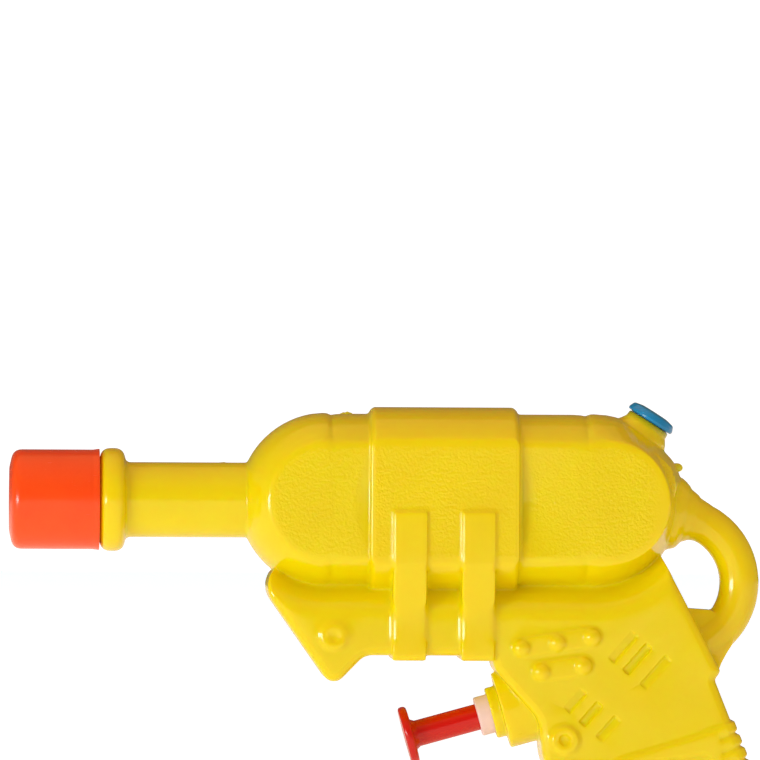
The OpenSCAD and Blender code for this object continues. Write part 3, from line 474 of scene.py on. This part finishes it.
bush_outline = [(BUSH_BORE, BUSH_FRONT, 0.1), (BUSH_R, BUSH_FRONT, 0.5), (BUSH_R, BUSH_SEAT, 0.1),
                (BUSH_FLANGE_R, BUSH_SEAT, 0.1), (BUSH_FLANGE_R, BUSH_END, 0.1),
                (SEAL_SEAT_R, BUSH_END, 0.1), (SEAL_SEAT_R, SEAL_SEAT, 0.1), (BUSH_BORE, SEAL_SEAT, 0.1)]
new_piece("guide_bush_moulded", turned(bush_outline, PUMP_AT, pump_axis), PALE, "housing",
          "guide_bush")

plug_top = RIM + PLUG_STEP + PLUG_T
plug_outline = [(0, RIM - PLUG_STEM, 0), (PLUG_STEM_R, RIM - PLUG_STEM, 0.7), (PLUG_STEM_R, RIM + 0.06, 0.1),
                (PLUG_STEP_R, RIM + 0.06, 0.15), (PLUG_STEP_R, RIM + PLUG_STEP, 0.3),
                (PLUG_R - 0.1, RIM + PLUG_STEP, 0.3), (PLUG_R, RIM + PLUG_STEP + 0.55, 0.4),
                (PLUG_R - 0.5, plug_top - 0.45, 0.8), (PLUG_R - 2.2, plug_top - 0.08, 2.0), (0, plug_top, 0)]
new_piece("filler_plug_moulded", turned(plug_outline, FILLER_AT, plug_axis), BLUE, "plug",
          "filler_plug")


# The return spring: a wound wire between piston and valve block
def wound_wire(first, last, rings=240, sides=12):
    """A mesh of a helical wire round the pump's axis, with its middle line between two stations."""
    w, u = Vector(pump_axis), Vector((0, 1, 0))
    v = w.cross(u)
    pitch = (last - first) / (2 * math.pi * CURLS)
    bm = bmesh.new()
    rows = []
    for k in range(rings + 1):
        turn = 2 * math.pi * CURLS * k / rings
        out = u * math.sin(turn) - v * math.cos(turn)
        side = u * math.cos(turn) + v * math.sin(turn)
        across = (side * SPRING_R + w * pitch).normalized().cross(out)
        middle = Vector(PUMP_AT) + out * SPRING_R + w * (first + (last - first) * k / rings)
        angles = [2 * math.pi * i / sides for i in range(sides)]
        rows.append([bm.verts.new((middle + (out * math.cos(a) + across * math.sin(a)) * WIRE_R) * MM)
                     for a in angles])
    skin(bm, rows)
    return mesh_of(bm, "wound")


stations = (points_of(nodes["return_spring"].data) / MM - np.array(PUMP_AT)) @ np.array(pump_axis)
spring_from, spring_to = float(stations.min()), float(stations.max())
spring = new_piece("return_spring_wound", wound_wire(spring_from + WIRE_R, spring_to - WIRE_R), STEEL,
                   "housing", "return_spring")
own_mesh(spring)


# Moulding flash along the seam: a sprue nub behind the tank and thin flakes on the top edge
def flash_nub(name, at, r):
    """A small uneven lump where the moulding was cut from its sprue."""
    bm = bmesh.new()
    bmesh.ops.create_icosphere(bm, subdivisions=4, radius=r * MM)
    for vert in bm.verts:
        vert.co *= 1 + 0.06 * noise.noise(vert.co / MM * 1.3)
        vert.co.x *= 1.35
        vert.co += Vector(at) * MM
    new_piece(name, mesh_of(bm, name), FLASH, "housing")


def flash_flake(name, at, length, height, seed):
    """A thin ragged fin that stands on the seam, tapered to both ends."""
    steps = 18
    bm = bmesh.new()
    rows = []
    for k in range(steps + 1):
        t = k / steps
        top = height * math.sin(math.pi * t) ** 0.7 * (0.7 + 0.5 * noise.noise(Vector((seed, 4 * t, 0))))
        thick = 0.16 * math.sin(math.pi * t) ** 0.5 + 0.02
        x, z = at[0] + (t - 0.5) * length, at[2]
        corners = [(-thick, -0.5), (thick, -0.5), (0.5 * thick, top), (-0.5 * thick, top)]
        rows.append([bm.verts.new(Vector((x, y, z + h)) * MM) for y, h in corners])
    skin(bm, rows)
    new_piece(name, mesh_of(bm, name), FLASH, "housing")


flash_nub("sprue_nub", (133.25, 0, 6.9), 0.9)
flash_flake("flash_tank", (67.0, 0, 17.35), 2.6, 0.55, 1.0)
flash_flake("flash_barrel", (42.4, 0, 7.4), 1.8, 0.25, 2.0)

# Floor and backdrop
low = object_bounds()[0]


def sheet_of(name, corners, look):
    """A flat stage piece."""
    mesh = bpy.data.meshes.new(name)
    mesh.from_pydata(corners, [], [(0, 1, 2, 3)])
    piece = bpy.data.objects.new(name, mesh)
    scene.collection.objects.link(piece)
    mesh.materials.append(look)


def paper(name, tone, cast, near_glow, far_glow):
    """White paper that glows for the camera, less so round the object, where its shadow falls."""
    made, tree, shader = new_material(name)
    place = add(tree, "ShaderNodeTexCoord").outputs["Object"]
    fibre = noise_at(tree, place, 40.0, 4.0)
    shade = mix(tree, fibre, colour(tone, tone, tone), colour(tone + 4, tone + 4, tone + 4))
    tree.links.new(shade, shader.inputs["Base Color"])
    shader.inputs["Roughness"].default_value = 0.9
    # Distance from the object, in metres, over which the glow rises
    away = add(tree, "ShaderNodeVectorMath", operation="LENGTH", i0=place).outputs["Value"]
    glow = mix(tree, ramp(tree, away, 0.25, 0.75, 0.0, 1.0), near_glow, far_glow)
    path = add(tree, "ShaderNodeLightPath").outputs["Is Camera Ray"]
    tree.links.new(mix(tree, path, (cast, cast, cast, 1), glow), shader.inputs["Emission Color"])
    shader.inputs["Emission Strength"].default_value = 1.0
    return made


FLOOR_HALF, BACK_Y = 5.0, 3.2
floor_z = low.z - 0.0002
sheet_of("floor", [(-FLOOR_HALF, -FLOOR_HALF, floor_z), (FLOOR_HALF, -FLOOR_HALF, floor_z),
                   (FLOOR_HALF, BACK_Y, floor_z), (-FLOOR_HALF, BACK_Y, floor_z)],
         paper("floor_paper", 238, 0.46, (0.36, 0.57, 0.76, 1), (0.62, 0.80, 0.92, 1)))
sheet_of("backdrop", [(-FLOOR_HALF, BACK_Y, floor_z), (FLOOR_HALF, BACK_Y, floor_z),
                      (FLOOR_HALF, BACK_Y, FLOOR_HALF), (-FLOOR_HALF, BACK_Y, FLOOR_HALF)],
         paper("backdrop_paper", 110, 0.04, (1, 1, 1, 1), (1, 1, 1, 1)))

# World: warm light from above, dimmer from the right and behind the camera, and white to the camera itself
HORIZON, UPPER, OVERHEAD = (0.37, 0.28, 0.22, 1), (0.54, 0.37, 0.15, 1), (1.28, 0.67, 0.36, 1)
RIGHT_SIDE, CAMERA_SIDE, WHITE_SKY = (0.48, 0.34, 0.22, 1), (0.18, 0.15, 0.12, 1), (1, 1, 1, 1)
world = bpy.data.worlds.new("studio")
scene.world = world
world.use_nodes = True
sky = world.node_tree
back = sky.nodes["Background"]
way = add(sky, "ShaderNodeSeparateXYZ", Vector=add(sky, "ShaderNodeTexCoord").outputs["Generated"]).outputs
shade = mix(sky, ramp(sky, way["Z"], 0.0, 0.6, 0.0, 1.0), HORIZON, UPPER)
shade = mix(sky, ramp(sky, way["Z"], 0.6, 1.0, 0.0, 1.0), shade, OVERHEAD)
shade = mix(sky, ramp(sky, way["X"], -0.2, 0.8, 0.0, 1.0), shade, RIGHT_SIDE)
shade = mix(sky, ramp(sky, way["Y"], -0.75, -0.98, 0.0, 1.0), shade, CAMERA_SIDE)
path = add(sky, "ShaderNodeLightPath").outputs["Is Camera Ray"]
sky.links.new(mix(sky, path, shade, WHITE_SKY), back.inputs["Color"])
back.inputs["Strength"].default_value = 1.0


# Lamps: a soft key to the left of the camera, and a warm fill above it that leaves no highlight
def lamp(name, at, aim, size, power, tint):
    """A rectangular lamp that is aimed at a point."""
    data = bpy.data.lights.new(name, "AREA")
    data.shape = "RECTANGLE"
    data.size, data.size_y = size
    data.energy = power
    data.color = tint
    made = bpy.data.objects.new(name, data)
    scene.collection.objects.link(made)
    made.location = at
    made.rotation_euler = (Vector(aim) - Vector(at)).to_track_quat("-Z", "Y").to_euler()
    return made


middle = (0.075, 0, -0.02)
lamp("key", (-0.645, -0.65, -0.02), middle, (0.42, 0.16), 3.7, (0.93, 1.0, 1.0))
fill = lamp("fill", (0.074, -1.6, 0.25), middle, (0.6, 0.4), 2.8, (1.0, 0.78, 0.5))
fill.visible_glossy = False

# Camera, at the photograph's viewing angle
FRAME_MM, CAMERA_MM = 152.0, 2500.0
AIM_MM = (73.72, 0, 24.14)
TURN, TILT, ROLL = math.radians(-2.1), math.radians(0.3), math.radians(0.3)
SENSOR_MM = 36.0
backward = Vector((math.sin(TURN) * math.cos(TILT), -math.cos(TURN) * math.cos(TILT), math.sin(TILT)))
camera = bpy.data.objects.new("camera", bpy.data.cameras.new("camera"))
scene.collection.objects.link(camera)
camera.data.sensor_width = SENSOR_MM
camera.data.lens = SENSOR_MM * CAMERA_MM / FRAME_MM
camera.location = (Vector(AIM_MM) + backward * CAMERA_MM) * MM
level = (-backward).to_track_quat("-Z", "Y")
camera.rotation_euler = (level @ Quaternion((0, 0, 1), ROLL)).to_euler()
camera.data.clip_start = 0.01
camera.data.clip_end = 20
scene.camera = camera

scene.view_settings.view_transform = "Standard"
